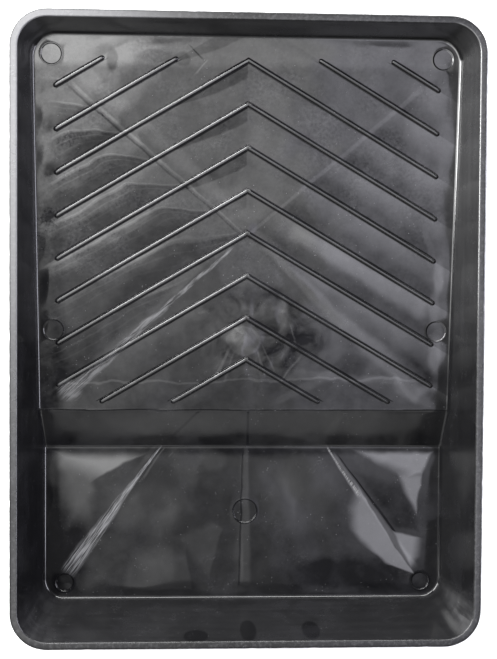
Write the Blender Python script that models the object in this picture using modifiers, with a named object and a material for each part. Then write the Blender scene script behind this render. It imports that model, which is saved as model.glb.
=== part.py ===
"""Paint roller tray for a 9 inch (230 mm) roller.

It is one thin-walled moulding with a flat rim, a deep paint well, a steep step, a ribbed roll-off ramp and
two corner legs under the shallow end. It is built here as its functional sections, each a closed solid of
its own, which meet across a small gap. Metres, +Z up, +Y towards the shallow end, +X to the right of a
person standing at the deep end. The origin is on the ground, under the middle of the rim.
"""

import math

import bmesh
import bpy
from mathutils import Matrix, Vector

# Rim, seen from above
RIM_WIDTH = 0.2750
RIM_LENGTH = 0.3680
RIM_BAND = 0.0045
RIM_THICKNESS = 0.0025
RIM_CORNER_RADIUS = 0.0215
RIM_EDGE_ROUNDING = 0.0006
ROUNDING_SEGMENTS = 3

# Thickness of the moulding, and the gap between its sections
WALL = 0.0020
FLOOR = 0.0020
GAP = 0.0003

# Depths of the inside below the rim's top face
RAMP_END_DEPTH = 0.0305
STEP_TOP_DEPTH = 0.0470
WELL_DEPTH = 0.0600

# Where the floor changes slope
STEP_TOP_Y = -0.0500
STEP_FOOT_Y = -0.0740

# Draft of the walls, as inward run per unit of depth
SIDE_DRAFT = 0.115
RAMP_END_DRAFT = 0.058
WELL_END_DRAFT = 0.142

# Plan corners of the inside, whose radius shrinks with depth
CORNER_RADIUS = 0.0170
CORNER_SHRINK = 0.077
CORNER_STEPS = 10

# Ribs: parallel chevrons on one pitch, cut off at the edges of a window on the ramp
RIB_COUNT = 10
FIRST_APEX_Y = 0.2150
RIB_PITCH = 0.02586
RIB_SLOPE = 0.586
RIB_WINDOW_X = 0.1155
RIB_WINDOW_NEAR_Y = -0.0440
RIB_WINDOW_FAR_Y = 0.1635
RIB_WIDTH = 0.0032
RIB_HEIGHT = 0.0020
RIB_ROUNDING = 0.0011
RIB_END_STEPS = 8

# Ejector pin marks: shallow round recesses in the floor
MARK_RADIUS = 0.0062
MARK_DEPTH = 0.0003
MARK_SIDES = 32
RAMP_MARK_X = 0.1183
RAMP_MARK_YS = (0.1655, 0.0000)
WELL_MARK_X = 0.1134
WELL_MARK_Y = -0.1608
CENTRE_MARK_RADIUS = 0.0076
CENTRE_MARK_Y = -0.1154

# Thickened bands crossing under the ramp, which lead the plastic to its corners
BAND_CROSSING_Y = 0.0620
BAND_SLOPE = 0.87
BAND_WIDTH = 0.0080
BAND_THICKNESS = 0.0008
BAND_HALF_LENGTH = 0.1450

# Where the side walls end, and the end walls with their corners begin
WALL_SPLIT_Y = 0.1560

# Legs: corner blades that carry the shallow end down to the ground
LEG_SIDE_REACH = 0.0420
LEG_END_REACH = 0.0520
LEG_FLANK_RUN = 0.0090

PLASTIC_COLOUR = (0.020, 0.020, 0.022, 1.0)
PLASTIC_ROUGHNESS = 0.30

# How far cutters reach past what they cut
BEYOND = 0.0200

# Places that follow from the dimensions
RIM_TOP = WELL_DEPTH + FLOOR
INSIDE_HALF_X = RIM_WIDTH / 2 - RIM_BAND
INSIDE_HALF_Y = RIM_LENGTH / 2 - RIM_BAND
RAMP_END_Y = INSIDE_HALF_Y - RAMP_END_DRAFT * RAMP_END_DEPTH
RAMP_FALL = (STEP_TOP_DEPTH - RAMP_END_DEPTH) / (RAMP_END_Y - STEP_TOP_Y)
RAMP_ANGLE = math.atan(RAMP_FALL)


# ------------------------------------------------------------------ plan outlines and side profile


def rounded_loop(half_x, near_y, far_y, radius, z):
    """Points of a rectangle with rounded corners, anticlockwise from above."""
    corners = (
        (half_x - radius, far_y - radius, 0),
        (-half_x + radius, far_y - radius, 90),
        (-half_x + radius, near_y + radius, 180),
        (half_x - radius, near_y + radius, 270),
    )
    points = []
    for centre_x, centre_y, first_degree in corners:
        for step in range(CORNER_STEPS + 1):
            angle = math.radians(first_degree + 90 * step / CORNER_STEPS)
            x = centre_x + radius * math.cos(angle)
            y = centre_y + radius * math.sin(angle)
            points.append(Vector((x, y, z)))
    return points


def inside_loop(depth, offset):
    """The outline of the tray's inside at this depth below the rim, moved outwards by offset."""
    return rounded_loop(
        INSIDE_HALF_X - SIDE_DRAFT * depth + offset,
        WELL_END_DRAFT * depth - INSIDE_HALF_Y - offset,
        INSIDE_HALF_Y - RAMP_END_DRAFT * depth + offset,
        CORNER_RADIUS - CORNER_SHRINK * depth + offset,
        RIM_TOP - depth,
    )


def ramp_height(y):
    """Height of the ramp's upper surface at this y."""
    return RIM_TOP - STEP_TOP_DEPTH + RAMP_FALL * (y - STEP_TOP_Y)


def floor_line(drop):
    """The floor seen from the side, as (y, z) points from past the shallow end to past the deep end.

    The line lies below the floor's upper surface by this drop, measured square to each stretch.
    """
    surface = [
        Vector((RAMP_END_Y + BEYOND, ramp_height(RAMP_END_Y + BEYOND))),
        Vector((STEP_TOP_Y, RIM_TOP - STEP_TOP_DEPTH)),
        Vector((STEP_FOOT_Y, RIM_TOP - WELL_DEPTH)),
        Vector((-INSIDE_HALF_Y - BEYOND, RIM_TOP - WELL_DEPTH)),
    ]
    along = [(b - a).normalized() for a, b in zip(surface, surface[1:])]
    down = [Vector((-d.y, d.x)) for d in along]
    line = [surface[0] + down[0] * drop]
    for before, after, point in zip(down, down[1:], surface[1:-1]):
        middle = (before + after).normalized()
        line.append(point + middle * drop / middle.dot(before))
    line.append(surface[-1] + down[-1] * drop)
    return line


def slab_outline(stretch):
    """Side view of one flat stretch of the floor, mitred to its neighbours with the gap between them."""
    upper = floor_line(0.0)[stretch:stretch + 2]
    lower = floor_line(FLOOR)[stretch:stretch + 2]
    along = (upper[1] - upper[0]).normalized() * GAP / 2
    return [upper[0] + along, upper[1] - along, lower[1] - along, lower[0] + along]


# ------------------------------------------------------------------ objects


def clear_scene():
    """Remove everything that a new Blender file starts with."""
    for obj in list(bpy.data.objects):
        bpy.data.objects.remove(obj, do_unlink=True)


def new_collection(name):
    """A collection linked to the scene."""
    collection = bpy.data.collections.new(name)
    bpy.context.scene.collection.children.link(collection)
    return collection


def mesh_object(name, bm, collection):
    """Turn a bmesh into an object with outward faces."""
    bmesh.ops.recalc_face_normals(bm, faces=bm.faces)
    mesh = bpy.data.meshes.new(name)
    bm.to_mesh(mesh)
    bm.free()
    obj = bpy.data.objects.new(name, mesh)
    collection.objects.link(obj)
    if collection is cutters:
        obj.hide_render = True
        obj.display_type = "WIRE"
    return obj


def loft(name, loops, collection):
    """Closed solid through loops that have the same number of points."""
    bm = bmesh.new()
    rings = [[bm.verts.new(point) for point in loop] for loop in loops]
    for first, second in zip(rings, rings[1:]):
        for i in range(len(first)):
            j = (i + 1) % len(first)
            bm.faces.new((first[i], first[j], second[j], second[i]))
    bm.faces.new(rings[0])
    bm.faces.new(rings[-1])
    return mesh_object(name, bm, collection)


def block(name, low, high, collection):
    """Box between two corners."""
    low, high = Vector(low), Vector(high)
    bm = bmesh.new()
    size = Matrix.Diagonal((*(high - low), 1.0))
    bmesh.ops.create_cube(bm, size=1.0, matrix=Matrix.Translation((low + high) / 2) @ size)
    return mesh_object(name, bm, collection)


def cross_prism(name, outline, collection):
    """A side-view outline of (y, z) points carried right across the tray."""
    bm = bmesh.new()
    face = bm.faces.new([bm.verts.new((-RIM_WIDTH, point.x, point.y)) for point in outline])
    carried = bmesh.ops.extrude_face_region(bm, geom=[face])["geom"]
    moving = [item for item in carried if isinstance(item, bmesh.types.BMVert)]
    bmesh.ops.translate(bm, verts=moving, vec=(2 * RIM_WIDTH, 0.0, 0.0))
    return mesh_object(name, bm, collection)


def combine(obj, other, operation):
    """Boolean with another object, kept as a modifier."""
    modifier = obj.modifiers.new(f"{operation.lower()} {other.name}", "BOOLEAN")
    modifier.operation = operation
    modifier.solver = "EXACT"
    modifier.object = other


def give_plastic(obj):
    """Glossy black polypropylene, as a material of the object's own."""
    material = bpy.data.materials.new(f"{obj.name}_plastic")
    material.use_nodes = True
    shader = material.node_tree.nodes["Principled BSDF"]
    shader.inputs["Base Color"].default_value = PLASTIC_COLOUR
    shader.inputs["Roughness"].default_value = PLASTIC_ROUGHNESS
    shader.inputs["Metallic"].default_value = 0.0
    obj.data.materials.clear()
    obj.data.materials.append(material)


# ------------------------------------------------------------------ rim and walls


def build_rim(inside):
    """Flat band round the top, with the uppermost strip of the walls in it."""
    outline = (RIM_WIDTH / 2, -RIM_LENGTH / 2, RIM_LENGTH / 2, RIM_CORNER_RADIUS)
    loops = [rounded_loop(*outline, RIM_TOP - RIM_THICKNESS), rounded_loop(*outline, RIM_TOP)]
    rim = loft("rim", loops, tray)
    rounding = rim.modifiers.new("rounded outer edges", "BEVEL")
    rounding.width = RIM_EDGE_ROUNDING
    rounding.segments = ROUNDING_SEGMENTS
    rounding.limit_method = "ANGLE"
    combine(rim, inside, "DIFFERENCE")


def wall_shell(name):
    """The tapered outer form of the tray, from above the rim to below the ground."""
    loops = [inside_loop(depth, WALL) for depth in (RIM_TOP + BEYOND, -BEYOND)]
    return loft(name, loops, tray)


def build_walls(inside):
    """Two side walls and two end walls; the end walls hold the rounded corners."""
    top = RIM_TOP - RIM_THICKNESS - GAP
    band = floor_line(FLOOR)
    band += [Vector((band[-1].x, top)), Vector((band[0].x, top))]
    between = cross_prism("cut_between_floor_and_rim", band, cutters)
    split = WALL_SPLIT_Y - GAP / 2
    past_split = WALL_SPLIT_Y + GAP / 2
    x, y, z = RIM_WIDTH, RIM_LENGTH, RIM_TOP + 2 * BEYOND
    windows = {
        "left_wall": ((-x, -split, -z), (0.0, split, z)),
        "right_wall": ((0.0, -split, -z), (x, split, z)),
        "ramp_end_wall": ((-x, past_split, -z), (x, y, z)),
        "well_end_wall": ((-x, -y, -z), (x, -past_split, z)),
    }
    for name, (low, high) in windows.items():
        wall = wall_shell(name)
        combine(wall, inside, "DIFFERENCE")
        combine(wall, block(f"window_{name}", low, high, cutters), "INTERSECT")
        combine(wall, between, "INTERSECT")


# ------------------------------------------------------------------ floor


def mark_cutter(name, x, y, radius, parent, surface_z):
    """Flat-bottomed round recess, a cutter that reaches from its depth to well above the floor."""
    bm = bmesh.new()
    height = 2 * BEYOND
    sizes = {"segments": MARK_SIDES, "radius1": radius, "radius2": radius, "depth": height}
    bmesh.ops.create_cone(bm, cap_ends=True, **sizes)
    cutter = mesh_object(name, bm, cutters)
    cutter.parent = parent
    cutter.location = (x, y, surface_z - MARK_DEPTH + height / 2)
    return cutter


def leading_band(name, direction, parent):
    """Thin strip just under the ramp, crossing it on the diagonal."""
    half = Vector((BAND_HALF_LENGTH, BAND_WIDTH / 2, 0.0))
    low = (-half.x, -half.y, -FLOOR - BAND_THICKNESS)
    high = (half.x, half.y, -FLOOR / 2)
    band = block(name, low, high, cutters)
    band.parent = parent
    band.location = (0.0, BAND_CROSSING_Y / math.cos(RAMP_ANGLE), 0.0)
    band.rotation_euler = (0.0, 0.0, direction * math.atan(BAND_SLOPE))
    return band


def build_floor(ramp_face):
    """Ramp, step and well floor, each a flat slab fitted between the walls."""
    fitted = loft("inside_less_gap", [inside_loop(d, -GAP) for d in (RIM_TOP + BEYOND, -BEYOND)], cutters)
    slabs = []
    for stretch, name in enumerate(("ramp", "step", "well_floor")):
        slab = cross_prism(name, slab_outline(stretch), tray)
        slabs.append(slab)
    ramp, step, well_floor = slabs
    for i, direction in enumerate((-1, 1)):
        combine(ramp, leading_band(f"band_{i + 1}", direction, ramp_face), "UNION")
    for slab in slabs:
        combine(slab, fitted, "INTERSECT")
    for i, y in enumerate(RAMP_MARK_YS):
        for side, x in (("left", -RAMP_MARK_X), ("right", RAMP_MARK_X)):
            along = y / math.cos(RAMP_ANGLE)
            mark = mark_cutter(f"ramp_mark_{side}_{i + 1}", x, along, MARK_RADIUS, ramp_face, 0.0)
            combine(ramp, mark, "DIFFERENCE")
    well_z = RIM_TOP - WELL_DEPTH
    for side, x in (("left", -WELL_MARK_X), ("right", WELL_MARK_X)):
        mark = mark_cutter(f"well_mark_{side}", x, WELL_MARK_Y, MARK_RADIUS, None, well_z)
        combine(well_floor, mark, "DIFFERENCE")
    centre = mark_cutter("well_mark_centre", 0.0, CENTRE_MARK_Y, CENTRE_MARK_RADIUS, None, well_z)
    combine(well_floor, centre, "DIFFERENCE")


# ------------------------------------------------------------------ ribs


def bead_outline(path):
    """Outline of a strip of the rib's width along a path in the ramp's plane, with round ends."""
    half = RIB_WIDTH / 2
    along = [(b - a).normalized() for a, b in zip(path, path[1:])]
    aside = [Vector((-d.y, d.x)) for d in along]
    bends = []
    for before, after, point in zip(aside, aside[1:], path[1:-1]):
        middle = (before + after).normalized()
        bends.append((point, middle * half / middle.dot(before)))

    def round_end(centre, first):
        turns = [math.pi * step / RIB_END_STEPS for step in range(RIB_END_STEPS + 1)]
        sideways = Vector((first.y, -first.x))
        return [centre + (first * math.cos(turn) + sideways * math.sin(turn)) * half for turn in turns]

    outline = round_end(path[-1], aside[-1])
    outline += [point - offset for point, offset in reversed(bends)]
    outline += round_end(path[0], -aside[0])
    outline += [point + offset for point, offset in bends]
    return outline


def build_rib(name, path, ramp_face):
    """Raised bead with rounded upper edges, standing on the ramp."""
    bm = bmesh.new()
    stretch = 1 / math.cos(RAMP_ANGLE)
    face = bm.faces.new([bm.verts.new((p.x, p.y * stretch, GAP)) for p in bead_outline(path)])
    raised = bmesh.ops.extrude_face_region(bm, geom=[face])["geom"]
    moving = [item for item in raised if isinstance(item, bmesh.types.BMVert)]
    bmesh.ops.translate(bm, verts=moving, vec=(0.0, 0.0, RIB_HEIGHT - GAP))
    bm.verts.index_update()
    upper = {vert.index for vert in moving}
    edges = [e for e in bm.edges if all(v.index in upper for v in e.verts)]
    rounding = {"offset": RIB_ROUNDING, "segments": ROUNDING_SEGMENTS, "profile": 0.5}
    bmesh.ops.bevel(bm, geom=edges, affect="EDGES", **rounding)
    rib = mesh_object(name, bm, tray)
    rib.parent = ramp_face


def build_ribs(ramp_face):
    """Chevrons down the ramp; the uppermost rows reach past the window's edge, which leaves only stubs."""
    chevrons = 0
    stub_rows = 0
    for row in range(RIB_COUNT):
        apex_y = FIRST_APEX_Y - RIB_PITCH * row
        inner_x = max(0.0, (apex_y - RIB_WINDOW_FAR_Y) / RIB_SLOPE)
        outer_x = min(RIB_WINDOW_X, (apex_y - RIB_WINDOW_NEAR_Y) / RIB_SLOPE)
        inner_y = apex_y - RIB_SLOPE * inner_x
        outer_y = apex_y - RIB_SLOPE * outer_x
        if inner_x > 0.0:
            stub_rows += 1
            left = [Vector((-outer_x, outer_y)), Vector((-inner_x, inner_y))]
            right = [Vector((inner_x, inner_y)), Vector((outer_x, outer_y))]
            build_rib(f"stub_rib_left_{stub_rows}", left, ramp_face)
            build_rib(f"stub_rib_right_{stub_rows}", right, ramp_face)
        else:
            chevrons += 1
            path = [Vector((-outer_x, outer_y)), Vector((0.0, apex_y)), Vector((outer_x, outer_y))]
            build_rib(f"chevron_rib_{chevrons}", path, ramp_face)


# ------------------------------------------------------------------ legs


def build_legs(inside):
    """The shallow end's two corners carried down to the ground, as blades that narrow towards the foot."""
    line = floor_line(FLOOR + GAP)
    under_ramp = [line[0], line[1], Vector((line[1].x, 0.0)), Vector((line[0].x, 0.0))]
    below = cross_prism("cut_below_ramp", under_ramp, cutters)
    side = RIM_WIDTH / 2
    end = RIM_LENGTH / 2
    for name, sign in (("left_leg", -1), ("right_leg", 1)):
        loops = []
        for z, run in ((-BEYOND, LEG_FLANK_RUN), (RIM_TOP, 0.0)):
            near_y = end - LEG_END_REACH + run
            inner_x = sign * (side - LEG_SIDE_REACH + run)
            outer_x = sign * (side + BEYOND)
            loops.append([
                Vector((inner_x, near_y, z)),
                Vector((outer_x, near_y, z)),
                Vector((outer_x, end + BEYOND, z)),
                Vector((inner_x, end + BEYOND, z)),
            ])
        leg = wall_shell(name)
        combine(leg, inside, "DIFFERENCE")
        combine(leg, loft(f"window_{name}", loops, cutters), "INTERSECT")
        combine(leg, below, "INTERSECT")


clear_scene()
tray = new_collection("paint_roller_tray")
cutters = new_collection("cutters")

ramp_face = bpy.data.objects.new("ramp_face", None)
ramp_face.location = (0.0, 0.0, ramp_height(0.0))
ramp_face.rotation_euler = (RAMP_ANGLE, 0.0, 0.0)
tray.objects.link(ramp_face)

inside_form = loft("inside", [inside_loop(d, 0.0) for d in (RIM_TOP + 2 * BEYOND, -2 * BEYOND)], cutters)
build_rim(inside_form)
build_walls(inside_form)
build_floor(ramp_face)
build_ribs(ramp_face)
build_legs(inside_form)

for part in tray.objects:
    if part.type == "MESH":
        give_plastic(part)
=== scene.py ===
"""Looks of the paint roller tray: one glossy black moulding, made as closely fitted sections of its skin.

Metres, +Z up, +Y towards the shallow end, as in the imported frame. Every section of the moulding follows
the same drafted walls and the same bent floor, so neighbours share their borders and read as one piece of
plastic. Places and sizes in the tables, the relief and the material's masks are in millimetres.
"""

import math

import bmesh
import bpy
from mathutils import Matrix, Vector, noise


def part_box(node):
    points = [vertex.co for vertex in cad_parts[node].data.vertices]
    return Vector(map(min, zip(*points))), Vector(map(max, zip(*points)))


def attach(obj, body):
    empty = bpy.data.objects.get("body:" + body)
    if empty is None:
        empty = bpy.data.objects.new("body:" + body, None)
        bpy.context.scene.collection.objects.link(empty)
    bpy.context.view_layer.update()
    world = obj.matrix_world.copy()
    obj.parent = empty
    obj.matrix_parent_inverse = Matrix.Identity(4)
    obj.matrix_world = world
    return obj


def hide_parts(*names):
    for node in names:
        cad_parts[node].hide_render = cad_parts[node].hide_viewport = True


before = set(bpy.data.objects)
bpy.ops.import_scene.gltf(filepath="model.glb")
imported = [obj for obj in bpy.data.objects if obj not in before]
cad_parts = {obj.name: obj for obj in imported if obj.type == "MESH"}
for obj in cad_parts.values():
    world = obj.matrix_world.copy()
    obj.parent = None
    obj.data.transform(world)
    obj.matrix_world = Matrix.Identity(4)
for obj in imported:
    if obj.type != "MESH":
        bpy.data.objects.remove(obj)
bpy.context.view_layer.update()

MM = 0.001

# ------------------------------------------------------------------ dimensions

RIM_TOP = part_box("rim")[1].z
RIM_HALF_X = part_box("rim")[1].x
RIM_HALF_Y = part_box("rim")[1].y
RIM_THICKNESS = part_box("rim")[1].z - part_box("rim")[0].z
RIM_BAND = 4.5 * MM
RIM_INNER_ROUNDING = 0.7 * MM
RIM_OUTER_ROUNDING = 1.0 * MM
RIM_SEAM_DEPTH = 5.0 * MM
RIM_CORNER = 21.5 * MM
RIM_NICKS = 0.25 * MM
RIM_GRAIN = 0.06 * MM

WALL = 2.0 * MM
FLOOR = 2.0 * MM
FILLET = 1.5 * MM

RAMP_END_DEPTH = 30.5 * MM
STEP_TOP_DEPTH = 47.0 * MM
WELL_DEPTH = RIM_TOP - FLOOR
STEP_TOP_Y = -50.0 * MM
STEP_FOOT_Y = -74.0 * MM
STEP_TOP_BEND = 2.2 * MM
STEP_FOOT_BEND = 1.1 * MM
STEP_MARGIN = 1.0 * MM

INSIDE_HALF_X = RIM_HALF_X - RIM_BAND
INSIDE_HALF_Y = RIM_HALF_Y - RIM_BAND
SIDE_DRAFT = 0.115
RAMP_END_DRAFT = 0.058
WELL_END_DRAFT = 0.142
CORNER_RADIUS = 17.0 * MM
CORNER_SHRINK = 0.077
CORNER_STEPS = 16

COLUMNS = 200
ROW_SPACING = 1.3 * MM
WALL_SPLIT_Y = 156.0 * MM
WALL_ROWS = 34
WALL_WARP = 0.25
WALL_RIPPLE = 0.05
RELIEF_FADE = 7.0 * MM

RAMP_END_Y = INSIDE_HALF_Y - RAMP_END_DRAFT * RAMP_END_DEPTH
RAMP_SLOPE = (STEP_TOP_DEPTH - RAMP_END_DEPTH) / (RAMP_END_Y - STEP_TOP_Y)
STEP_SLOPE = (WELL_DEPTH - STEP_TOP_DEPTH) / (STEP_TOP_Y - STEP_FOOT_Y)

# Ribs
RIB_ROWS = 10
FIRST_APEX_Y = 215.0 * MM
RIB_PITCH = 25.86 * MM
RIB_SLOPE = 0.586
RIB_WINDOW_X = 115.6 * MM
RIB_WINDOW_NEAR_Y = -44.0 * MM
RIB_WINDOW_FAR_Y = 163.4 * MM
RIB_HALF_WIDTH = 1.25 * MM
RIB_HEIGHT = 1.7 * MM
RIB_FLARE = 0.5 * MM
RIB_SINK = 0.3 * MM

# Ejector pin marks
RAMP_MARKS = ((-118.2, 165.6), (118.2, 165.6), (-118.3, 0.1), (118.3, 0.1))
WELL_MARKS = ((-113.5, -160.8), (113.5, -160.8))
CENTRE_MARK = (0.5, -115.4)

RAMP_MARK_RADIUS = 6.2 * MM
RAMP_MARK_DEPTH = 0.25 * MM
WELL_MARK_RADIUS = 5.8 * MM
WELL_MARK_DEPTH = 0.7 * MM
CENTRE_MARK_RADIUS = 7.6 * MM
CENTRE_MARK_DEPTH = 0.4 * MM
MARK_LIP = 0.12 * MM
MARK_HOLE_MARGIN = 1.7 * MM

# Legs
LEG_SIDE_REACH = 42.0 * MM
LEG_END_REACH = 52.0 * MM
LEG_FLANK_RUN = 9.0 * MM
LEG_FLANK_BELOW = 20.0 * MM
LEG_ROUNDING = 0.5 * MM
LEG_TUCK = 0.15 * MM
LEG_EMBED = 0.5 * MM

# Camera, as fitted to the tray's rim: its place above the ground, its small turns and its lens
CAMERA_PLACE = (-27.28 * MM, 20.01 * MM, 599.5 * MM + RIM_TOP)
CAMERA_TILT = 0.02984
CAMERA_ROLL_Y = 0.04459
CAMERA_TURN = -0.00512
CAMERA_LENS = 56.86

CEILING = 1.5


# ------------------------------------------------------------------ the skin's shape


def bend(distance, reach):
    """0 before a crease and distance after it, with a parabola of this reach on each side."""
    if distance <= -reach:
        return 0.0
    if distance >= reach:
        return distance
    return (distance + reach) ** 2 / (4 * reach)


def floor_height(y, drop=0.0):
    """Height of the floor's upper surface, or of a surface this far below it, before any relief."""
    step_angle = math.atan(STEP_SLOPE)
    ramp_angle = math.atan(RAMP_SLOPE)
    middle = (step_angle + ramp_angle) / 2
    foot_y = STEP_FOOT_Y + drop * math.tan(step_angle / 2)
    top_y = STEP_TOP_Y + drop * math.sin(middle) / math.cos((step_angle - ramp_angle) / 2)
    height = RIM_TOP - WELL_DEPTH - drop
    height += STEP_SLOPE * bend(y - foot_y, STEP_FOOT_BEND + drop / 2)
    height += (RAMP_SLOPE - STEP_SLOPE) * bend(y - top_y, STEP_TOP_BEND)
    return height


class Station:
    """A place on the tray's perimeter, from which the wall's section is drawn.

    side is -1 for left and 1 for right, end is -1 for the well's end and 1 for the ramp's. A station on a
    straight side keeps its y, one on a straight end keeps its x, and one on a corner keeps its angle.
    """

    def __init__(self, side, end, y=None, x=None, angle=None):
        self.side, self.end = side, end
        self.y, self.x, self.angle = y, x, angle
        if y is not None:
            self.outward = Vector((side, 0.0))
        elif x is not None:
            self.outward = Vector((0.0, end))
        else:
            self.outward = Vector((side * math.cos(angle), end * math.sin(angle)))

    def plan(self, depth, offset=0.0):
        """Where the inside's outline passes at this depth, moved outwards by offset."""
        half_x = INSIDE_HALF_X - SIDE_DRAFT * depth
        draft = RAMP_END_DRAFT if self.end > 0 else WELL_END_DRAFT
        half_y = INSIDE_HALF_Y - draft * depth
        if self.y is not None:
            return Vector((self.side * (half_x + offset), self.y))
        if self.x is not None:
            return Vector((self.x, self.end * (half_y + offset)))
        radius = CORNER_RADIUS - CORNER_SHRINK * depth
        centre = Vector((self.side * (half_x - radius), self.end * (half_y - radius)))
        return centre + self.outward * (radius + offset)

    def point(self, depth, offset=0.0):
        """The same in space."""
        return self.plan(depth, offset).to_3d() + Vector((0.0, 0.0, RIM_TOP - depth))

    def floor_depth(self, offset=0.0, drop=0.0):
        """Depth at which the wall's inner or outer face meets the floor's upper or lower surface."""
        depth = WELL_DEPTH
        for _ in range(12):
            depth = RIM_TOP - floor_height(self.plan(depth, offset).y, drop)
        return depth

    def floor_edge(self, drop=0.0):
        """Where the wall's fillet ends and the flat floor starts."""
        inner = self.plan(self.floor_depth()) - self.outward * FILLET
        return Vector((inner.x, inner.y, floor_height(inner.y, drop)))


def arc(start, corner, end, steps):
    """Points of a rounded corner from start to end, both left out."""
    weight = math.cos(math.radians(42))
    points = []
    for i in range(1, steps):
        t = i / steps
        a, b, c = (1 - t) ** 2, 2 * t * (1 - t) * weight, t ** 2
        points.append((start * a + corner * b + end * c) / (a + b + c))
    return points


def between(start, end, steps):
    """Evenly spaced points from start to end, both left out."""
    return [start.lerp(end, i / steps) for i in range(1, steps)]


# ------------------------------------------------------------------ relief of the floor


def smooth(value):
    """0 below 0, 1 above 1, and a smooth ramp between."""
    value = min(1.0, max(0.0, value))
    return value * value * (3 - 2 * value)


def hump(value):
    """1 at 0, fading to 0 over a few units."""
    return math.exp(-value * value)


def distance_to_line(x, y, start, end):
    """Distance from a stretch of line, and how far along it the nearest point is, from 0 to 1."""
    ax, ay = start
    bx, by = end
    length = math.hypot(bx - ax, by - ay)
    along = ((x - ax) * (bx - ax) + (y - ay) * (by - ay)) / length ** 2
    share = min(1.0, max(0.0, along))
    return math.hypot(x - ax - share * (bx - ax), y - ay - share * (by - ay)), share


def border_distance(x, y):
    """Distance from the floor's border, in metres, counted round the corners."""
    depth = RIM_TOP - floor_height(y)
    end_y = RAMP_END_Y
    if y < 0:
        end_y = INSIDE_HALF_Y - WELL_END_DRAFT * WELL_DEPTH
    from_side = INSIDE_HALF_X - SIDE_DRAFT * depth - FILLET - abs(x)
    from_end = end_y - FILLET - abs(y)
    radius = CORNER_RADIUS - CORNER_SHRINK * depth - FILLET
    if from_side < radius and from_end < radius:
        return radius - math.hypot(radius - from_side, radius - from_end)
    return min(from_side, from_end)


def waves(x, y, length, seed):
    """Smooth random rise and fall, about -1 to 1, of this wave length in mm."""
    return 2.0 * noise.noise(Vector((2 * x / length, 2 * y / length, seed)))


def sinks_between_ribs(x, y):
    """Each bay between two ribs is a shallow crown, sunk along the ribs; strongest towards the outer ends."""
    rows = (FIRST_APEX_Y / MM - y - RIB_SLOPE * abs(x)) / (RIB_PITCH / MM)
    share = rows - math.floor(rows)
    crown = math.sin(math.pi * share) - 0.5
    inside = smooth((y + 58) / 14)
    height = 0.46 if x < 0 else 0.16
    outwards = 0.35 + 0.65 * smooth((abs(x) - 15) / 70)
    return height * crown * inside * outwards * (1 + 0.5 * waves(x, y, 70, 3.0))


def flow_leaders(x, y):
    """Thin ridges where the plastic ran along the ramp's diagonals and into the well's corners."""
    height = 0.0
    for side in (-1, 1):
        for start, end in (((0, 62), (side * 106, 150)), ((0, 62), (side * 115, -43))):
            away, _ = distance_to_line(x, y, start, end)
            wander = away + 1.2 * waves(x, y, 30, 5.0)
            height += 0.12 * hump(wander / 4.0) + 0.03 * hump(wander / 0.9)
        away, share = distance_to_line(x, y, (side * 56, -76), (side * 114, -160.5))
        width = 1.5 + 5.0 * share
        height += (0.22 if side < 0 else 0.11) * hump(away / width)
    away, share = distance_to_line(x, y, (0, -50), (0, -160))
    height += (0.10 + 0.10 * share) * hump(away / (1.2 + 3.0 * share))
    return height


def gate_splash(x, y):
    """The bump and ripples round the place where the plastic was injected."""
    away = math.hypot(x, y + 5)
    ripples = 0.11 * waves(x + 3 * waves(x, y, 16, 21.0), y + 3 * waves(x, y, 16, 22.0), 14, 8.0)
    return 0.25 * hump(away / 8) + ripples * hump(math.hypot(x - 4, y + 2) / 34)


def panel_warps(x, y):
    """Slow warps of the thin floor."""
    height = 0.30 * waves(x, y, 95, 1.0) + 0.05 * waves(x, y, 28, 2.0)
    in_well = smooth((-66 - y) / 16)
    return height + in_well * 0.35 * waves(x, y, 60, 11.0)


def relief(x, y):
    """How far the floor stands proud of its plain shape here, in metres: warps, sinks and flow marks."""
    fade = smooth(border_distance(x, y) / RELIEF_FADE)
    if fade == 0.0:
        return 0.0
    x, y = x / MM, y / MM
    height = sinks_between_ribs(x, y) + flow_leaders(x, y) + gate_splash(x, y) + panel_warps(x, y)
    return height * fade * MM


def mark_profile(distance, radius, depth):
    """Height of an ejector pin's mark at this distance from its centre."""
    step = smooth((distance - radius + 0.45 * MM) / (0.45 * MM))
    lip = MARK_LIP * hump((distance - radius - 0.35 * MM) / (0.3 * MM))
    return -depth * (1 - step) + lip


# ------------------------------------------------------------------ mesh building


def finish_mesh(name, bm, sharp_degrees=40):
    """Turn a bmesh into a smooth-shaded object with its crisp edges kept."""
    bmesh.ops.recalc_face_normals(bm, faces=bm.faces)
    mesh = bpy.data.meshes.new(name)
    bm.to_mesh(mesh)
    bm.free()
    mesh.shade_smooth()
    mesh.set_sharp_from_angle(angle=math.radians(sharp_degrees))
    obj = bpy.data.objects.new(name, mesh)
    bpy.context.scene.collection.objects.link(obj)
    return obj


def join_loops(bm, first, second):
    """A band of quads between two closed loops of vertices."""
    count = len(first)
    for i in range(count):
        j = (i + 1) % count
        bm.faces.new((first[i], first[j], second[j], second[i]))


def skin(name, sections, closed=False):
    """Closed body through closed sections that all have the same number of points."""
    bm = bmesh.new()
    loops = [[bm.verts.new(point) for point in section] for section in sections]
    for first, second in zip(loops, loops[1:]):
        join_loops(bm, first, second)
    if closed:
        join_loops(bm, loops[-1], loops[0])
    else:
        bm.faces.new(loops[0])
        bm.faces.new(loops[-1])
    return finish_mesh(name, bm)


# ------------------------------------------------------------------ stations and rows


def spaced(start, end, spacing):
    """Numbers from start to end, both included, no further apart than spacing."""
    steps = math.ceil(abs(end - start) / spacing)
    return [start + (end - start) * i / steps for i in range(steps + 1)]


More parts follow.
